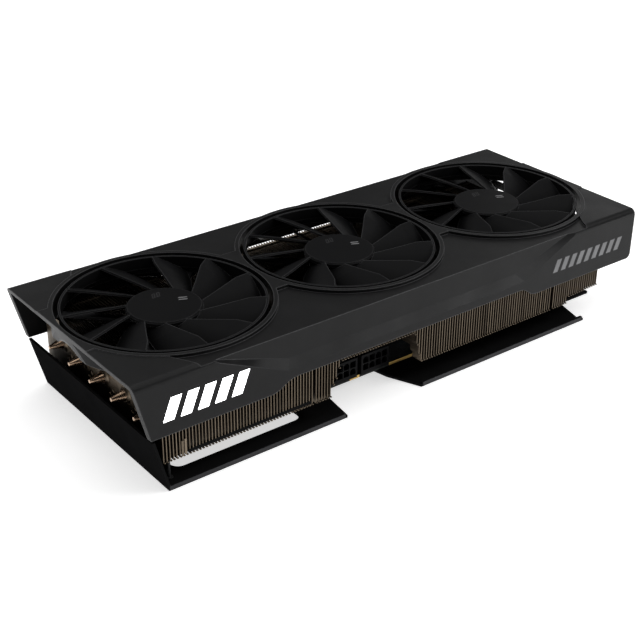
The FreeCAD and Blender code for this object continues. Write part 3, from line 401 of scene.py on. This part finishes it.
def round_edges(piece, width_mm, segments=2):
    """Rounds a piece's edges and shades it smoothly."""
    bevel = piece.modifiers.new("edge_radius", "BEVEL")
    bevel.width = width_mm * MM
    bevel.segments = segments
    bevel.limit_method = "ANGLE"
    smooth(piece)


# ---- pieces that the CAD leaves to the looks ------------------------------------------------------

def fin_feet(node):
    """(x, lowest z) of the near edge of every fin in a stack."""
    low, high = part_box(node)
    near = [v.co for v in nodes[node].data.vertices if v.co.y < low.y + 0.3 * MM]
    feet = []
    for index in range(int((high.x - low.x) / FIN_PITCH) + 1):
        x = low.x + index * FIN_PITCH
        heights = [co.z for co in near if abs(co.x - x - FIN_THICKNESS / 2) < 0.4 * MM]
        if heights:
            feet.append((x, min(heights)))
    return feet


TAB_INSET = 0.15 * MM      # along the card, from the fin that the tab is folded from
TAB_WIDTH = 0.95 * MM
TAB_DEPTH = 2.0 * MM
TAB_DROP = 0.15 * MM
TAB_RISE = 0.4 * MM
TAB_NEAR_OVERHANG = 0.4 * MM
TAB_FAR_SETBACK = 1.6 * MM


def make_fin_tabs(materials):
    """Folded tabs that lock each fin to the next, in rows under the stacks."""
    for name in FANS:
        node = "fin_stack_" + name
        low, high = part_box(node)
        feet = fin_feet(node)

        def build(bm, low=low, high=high, feet=feet):
            for x, z in feet:
                start = x + TAB_INSET
                for y in (low.y - TAB_NEAR_OVERHANG, high.y - TAB_FAR_SETBACK):
                    add_box(bm, (start, y, z - TAB_DROP), (start + TAB_WIDTH, y + TAB_DEPTH, z + TAB_RISE))

        round_edges(piece_from(node + "_tabs", build, materials["fin_metal"], "card"), 0.16)


# both in millimetres from the low corner of the tail stack: (x, y, z) of two opposite corners
TAIL_FOLDS = (((9.6, -0.55, 0.3), (10.95, 0.1, 8.8)), ((11.2, -0.55, 0.8), (12.55, 0.1, 9.3)))
# painted shade: a black strip where the fins above the tab row lie in shade
TAIL_SHADOW_STRIP = (((13.2, -0.08, 0.7), (84.0, 0.4, 2.7)),)


def make_tail_folds(materials):
    """Two folded-over fins, and a dark strip above the tab row of the tail stack, a black sheet put there
    as painted shade.
    """
    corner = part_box("fin_stack_tail")[0]

    def add_boxes(bm, boxes):
        for low, high in boxes:
            add_box(bm, corner + Vector(low) * MM, corner + Vector(high) * MM)

    def build_folds(bm):
        add_boxes(bm, TAIL_FOLDS)

    def build_shadow_strip(bm):
        add_boxes(bm, TAIL_SHADOW_STRIP)

    round_edges(piece_from("tail_end_folds", build_folds, materials["fin_metal"], "card"), 0.3)
    # the black backplate coat on this strip is painted shade
    coat = materials["backplate_coat"]
    shadow_strip = piece_from("tail_tab_shadow_strip", build_shadow_strip, coat, "card")
    round_edges(shadow_strip, 0.2)


LIP_SPANS_MM = ((15.9, 117.9), (169.0, 289.3))          # along the card, from its tail end
PLATED_SPANS_MM = ((137.0, 143.5), (163.5, 189.0))
TRIM_DEPTH = 0.3 * MM


def make_edge_trims(materials):
    """Lighter trims on near edges: a lighter, shinier skin over the backplate's near lips, a painted
    highlight for the light they catch, and the plated near edge of the board.
    """
    tail_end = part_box("shroud")[0]
    board_low, board_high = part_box("circuit_board")

    def build_lips(bm):
        for start, end in LIP_SPANS_MM:
            add_box(bm, (tail_end.x + start * MM, tail_end.y - 0.08 * MM, 0.35 * MM),
                    (tail_end.x + end * MM, tail_end.y + TRIM_DEPTH, 2.5 * MM))

    def build_plating(bm):
        for start, end in PLATED_SPANS_MM:
            add_box(bm, (tail_end.x + start * MM, board_low.y - 0.06 * MM, board_low.z + 0.05 * MM),
                    (tail_end.x + end * MM, board_low.y + TRIM_DEPTH, board_high.z + 0.03 * MM))

    # painted highlight: the near lips get the lighter, shinier trim instead of the dark backplate coat
    lips = piece_from("backplate_lip_highlight_trims", build_lips, materials["edge_trim"], "card")
    round_edges(lips, 0.25)
    plating = piece_from("board_edge_plating", build_plating, materials["board_edge"], "card")
    round_edges(plating, 0.08, 1)


def pipe_tip(node):
    """Middle of a heat pipe's tail tip."""
    low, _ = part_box(node)
    tip = [v.co for v in nodes[node].data.vertices if v.co.x < low.x + 0.5 * MM]
    return sum(tip, Vector()) / len(tip)


PIPE_COUNT = 5
COLLAR_MM = ((3.05, -0.2), (3.05, 1.1), (3.35, 1.1), (3.6, 0.35), (4.6, 0.05), (4.6, -0.2))
CRESCENT_MM = ((2.0, -0.2), (2.0, 0.35), (2.3, 0.6), (2.7, 0.6), (3.0, 0.35), (3.0, -0.2))
CRESCENT_START = 0.75 * math.pi
TAILWARD = (-1, 0, 0)


def make_pipe_collars(materials):
    """A drawn collar where each heat pipe leaves the last fin, and an embossed crescent beside it."""
    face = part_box("fin_stack_tail")[0].x
    collar = [(radius * MM, height * MM) for radius, height in COLLAR_MM]
    crescent = [(radius * MM, height * MM) for radius, height in CRESCENT_MM]

    def build(bm):
        for number in range(1, PIPE_COUNT + 1):
            tip = pipe_tip(f"heat_pipe_{number}")
            add_lathe(bm, (face, tip.y, tip.z), TAILWARD, collar)
            beside = (face, tip.y - 6.5 * MM, tip.z - 4.5 * MM)
            add_lathe(bm, beside, TAILWARD, crescent, 20, math.pi, CRESCENT_START)

    smooth(piece_from("pipe_collars", build, materials["fin_metal"], "card"))


def add_slab(bm, outline, foot, head):
    """A flat slab with the given outline, between two heights."""
    base = [bm.verts.new((x, y, foot)) for x, y in outline]
    lid = [bm.verts.new((x, y, head)) for x, y in outline]
    bm.faces.new(lid)
    bm.faces.new(list(reversed(base)))
    for k in range(len(outline)):
        m = (k + 1) % len(outline)
        bm.faces.new((base[k], base[m], lid[m], lid[k]))


# millimetres from the middle of the hub
PLUG_STARTS_MM = (0.0, 2.6)
PLUG_OUTLINE_MM = ((-1.15, 9.02), (0.36, 9.02), (2.3, 12.98), (0.8, 12.98))
MARK_CENTRE_MM = Vector((10.8, 0.4))
MARK_HALF_GAP_MM = 1.05
MARK_OUTLINE_MM = ((-2.4, -0.45), (1.9, -0.45), (2.4, 0.45), (-1.9, 0.45))
MARK_ALONG = Vector((0.90, -0.43))
MARK_ACROSS = Vector((0.43, 0.90))


def make_hub_marks(materials):
    """Two slanted bars on each hub cap, and plugs for the cap's two moulding pockets."""
    for name in FANS:
        node = f"fan_{name}_rotor"
        low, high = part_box(node)
        centre = (low + high) / 2
        top = max(v.co.z for v in nodes[node].data.vertices
                  if (v.co.xy - centre.xy).length < 12 * MM)

        def build_plugs(bm, centre=centre, top=top):
            for start in PLUG_STARTS_MM:
                spots = [(centre.x + (start + x) * MM, centre.y + y * MM) for x, y in PLUG_OUTLINE_MM]
                add_slab(bm, spots, top - 0.2 * MM, top)

        def build_bars(bm, centre=centre, top=top):
            for side in (-1, 1):
                middle = centre.xy + MARK_CENTRE_MM * MM + MARK_ACROSS * side * MARK_HALF_GAP_MM * MM
                spots = [middle + (MARK_ALONG * u + MARK_ACROSS * v) * MM for u, v in MARK_OUTLINE_MM]
                add_slab(bm, [(spot.x, spot.y) for spot in spots], top - 0.1 * MM, top + 0.05 * MM)

        body = f"fan_{name}"
        piece_from(f"{body}_hub_plugs", build_plugs, materials["fan_plastic"], body)
        bars = piece_from(f"{body}_hub_mark", build_bars, materials["side_mark"], body)
        round_edges(bars, 0.04, 1)


CHIP_ROWS = 3
CHIP_ROW_START = 96.0 * MM      # from the board's near edge
CHIP_ROW_PITCH = 5.0 * MM
CHIP_LENGTHS_MM = (1.0, 1.6, 2.0)
CHIP_CHANCE = 0.72


def chip_places(board_low, board_high):
    """(x, y, length) of each chip capacitor: rows along the far edge, clear of the larger parts."""
    top = board_high.z
    taken = [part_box(name) for name in nodes
             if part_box(name)[0].z < top + 3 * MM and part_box(name)[1].z > top + 0.05 * MM
             and name not in ("shroud", "slot_bracket", "backplate")]
    solids = [(a.x - MM, a.y - MM, b.x + MM, b.y + MM) for a, b in taken if (b - a).x < 60 * MM]
    places = []
    for row in range(CHIP_ROWS):
        y = board_low.y + CHIP_ROW_START + CHIP_ROW_PITCH * row
        x = board_low.x + 8 * MM
        while x < board_high.x - 12 * MM:
            length = rng.choice(CHIP_LENGTHS_MM) * MM
            clear = all(not (a < x < c and b < y < d) for a, b, c, d in solids)
            if clear and rng.random() < CHIP_CHANCE:
                places.append((x, y + rng.uniform(-0.8, 0.8) * MM, length))
            x += length + rng.uniform(1.4, 3.6) * MM
    return places


def make_board_parts(materials):
    """Small chip capacitors: dark bodies with a bright end cap at each end."""
    low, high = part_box("circuit_board")
    top = high.z
    places = chip_places(low, high)

    def build_bodies(bm):
        for x, y, length in places:
            half = length / 2
            add_box(bm, (x - half * 0.6, y - half * 0.5, top),
                    (x + half * 0.6, y + half * 0.5, top + half * 0.8))

    def build_ends(bm):
        for x, y, length in places:
            half = length / 2
            for start, end in ((x - half, x - half * 0.55), (x + half * 0.55, x + half)):
                add_box(bm, (start, y - half * 0.53, top), (end, y + half * 0.53, top + half * 0.85))

    bodies = piece_from("chip_capacitor_bodies", build_bodies, materials["choke"], "card")
    round_edges(bodies, 0.05, 1)
    ends = piece_from("chip_capacitor_ends", build_ends, materials["pin_metal"], "card")
    round_edges(ends, 0.06, 1)


# ---- camera, floor and light ---------------------------------------------------------------------

CAMERA_PLACE = (-0.3911, -0.4917, 0.3428)
CAMERA_TURN_DEG = -37.82
CAMERA_DOWN_DEG = 28.14
CAMERA_ROLL_DEG = 0.49
CAMERA_LENS_MM = 72.05


def make_camera():
    data = bpy.data.cameras.new("camera")
    data.lens = CAMERA_LENS_MM
    data.clip_start = 0.01
    camera = bpy.data.objects.new("camera", data)
    turn = Matrix.Rotation(math.radians(CAMERA_TURN_DEG), 4, "Z")
    tilt = Matrix.Rotation(math.radians(90 - CAMERA_DOWN_DEG), 4, "X")
    roll = Matrix.Rotation(math.radians(CAMERA_ROLL_DEG), 4, "Z")
    camera.matrix_world = Matrix.Translation(CAMERA_PLACE) @ turn @ tilt @ roll
    bpy.context.scene.collection.objects.link(camera)
    bpy.context.scene.camera = camera


FLOOR_HALF_SIZE = 6.0
FLOOR_GLOW = 0.62           # keeps the pale floor near white without brighter lights
FLOOR_GAP = 0.05 * MM


def make_floor():
    s = Surface("floor_paper", (0.93, 0.93, 0.93), 0.8)
    s.shade(s.remap(s.noise(30.0), 0.0, 1.0), 0.995, 1.0)
    s.set("Emission Color", (1.0, 1.0, 1.0, 1.0))
    s.set("Emission Strength", FLOOR_GLOW)
    mesh = bpy.data.meshes.new("floor")
    signs = ((-1, -1), (1, -1), (1, 1), (-1, 1))
    mesh.from_pydata([(x * FLOOR_HALF_SIZE, y * FLOOR_HALF_SIZE, 0) for x, y in signs], [], [(0, 1, 2, 3)])
    mesh.materials.append(s.material)
    floor = bpy.data.objects.new("floor", mesh)
    floor.location.z = cad_box[0][2] - FLOOR_GAP
    bpy.context.scene.collection.objects.link(floor)


def add_softbox(name, place, target, size, power):
    data = bpy.data.lights.new(name, "AREA")
    data.shape = "RECTANGLE"
    data.size, data.size_y = size
    data.energy = power
    light = bpy.data.objects.new(name, data)
    light.location = place
    aim = Vector(target) - Vector(place)
    light.rotation_euler = aim.to_track_quat("-Z", "Y").to_euler()
    bpy.context.scene.collection.objects.link(light)


WORLD_STRENGTH = 0.1
SOFTBOXES = (               # name, place, target, size in metres, watts
    ("overhead", (0.3, 0.4, 2.2), (0.3, 0.4, 0.0), (3.0, 3.0), 42.0),
    ("behind_left", (0.3, 1.9, 1.0), (0.0, 0.0, 0.0), (0.9, 0.9), 1.2),
    ("behind_right", (1.9, 1.2, 0.8), (0.0, 0.0, 0.0), (0.7, 0.9), 1.6),
    ("front_right", (0.9, -1.36, 0.12), (0.02, -0.07, 0.04), (0.8, 0.22), 4.5),
    ("front_right_high", (0.88, -0.78, 1.12), (0.0, -0.07, 0.05), (0.55, 0.35), 5.0),
)


def make_lights():
    world = bpy.data.worlds.new("studio")
    world.use_nodes = True
    background = world.node_tree.nodes["Background"]
    background.inputs["Color"].default_value = (1.0, 1.0, 1.0, 1.0)
    background.inputs["Strength"].default_value = WORLD_STRENGTH
    bpy.context.scene.world = world
    for softbox in SOFTBOXES:
        add_softbox(*softbox)


bpy.context.scene.view_settings.view_transform = "Standard"
make_camera()
make_floor()
make_lights()
materials = {name: surface.material for name, surface in make_materials().items()}
dress_nodes(materials)
make_fin_tabs(materials)
make_tail_folds(materials)
make_edge_trims(materials)
make_pipe_collars(materials)
make_hub_marks(materials)
make_board_parts(materials)
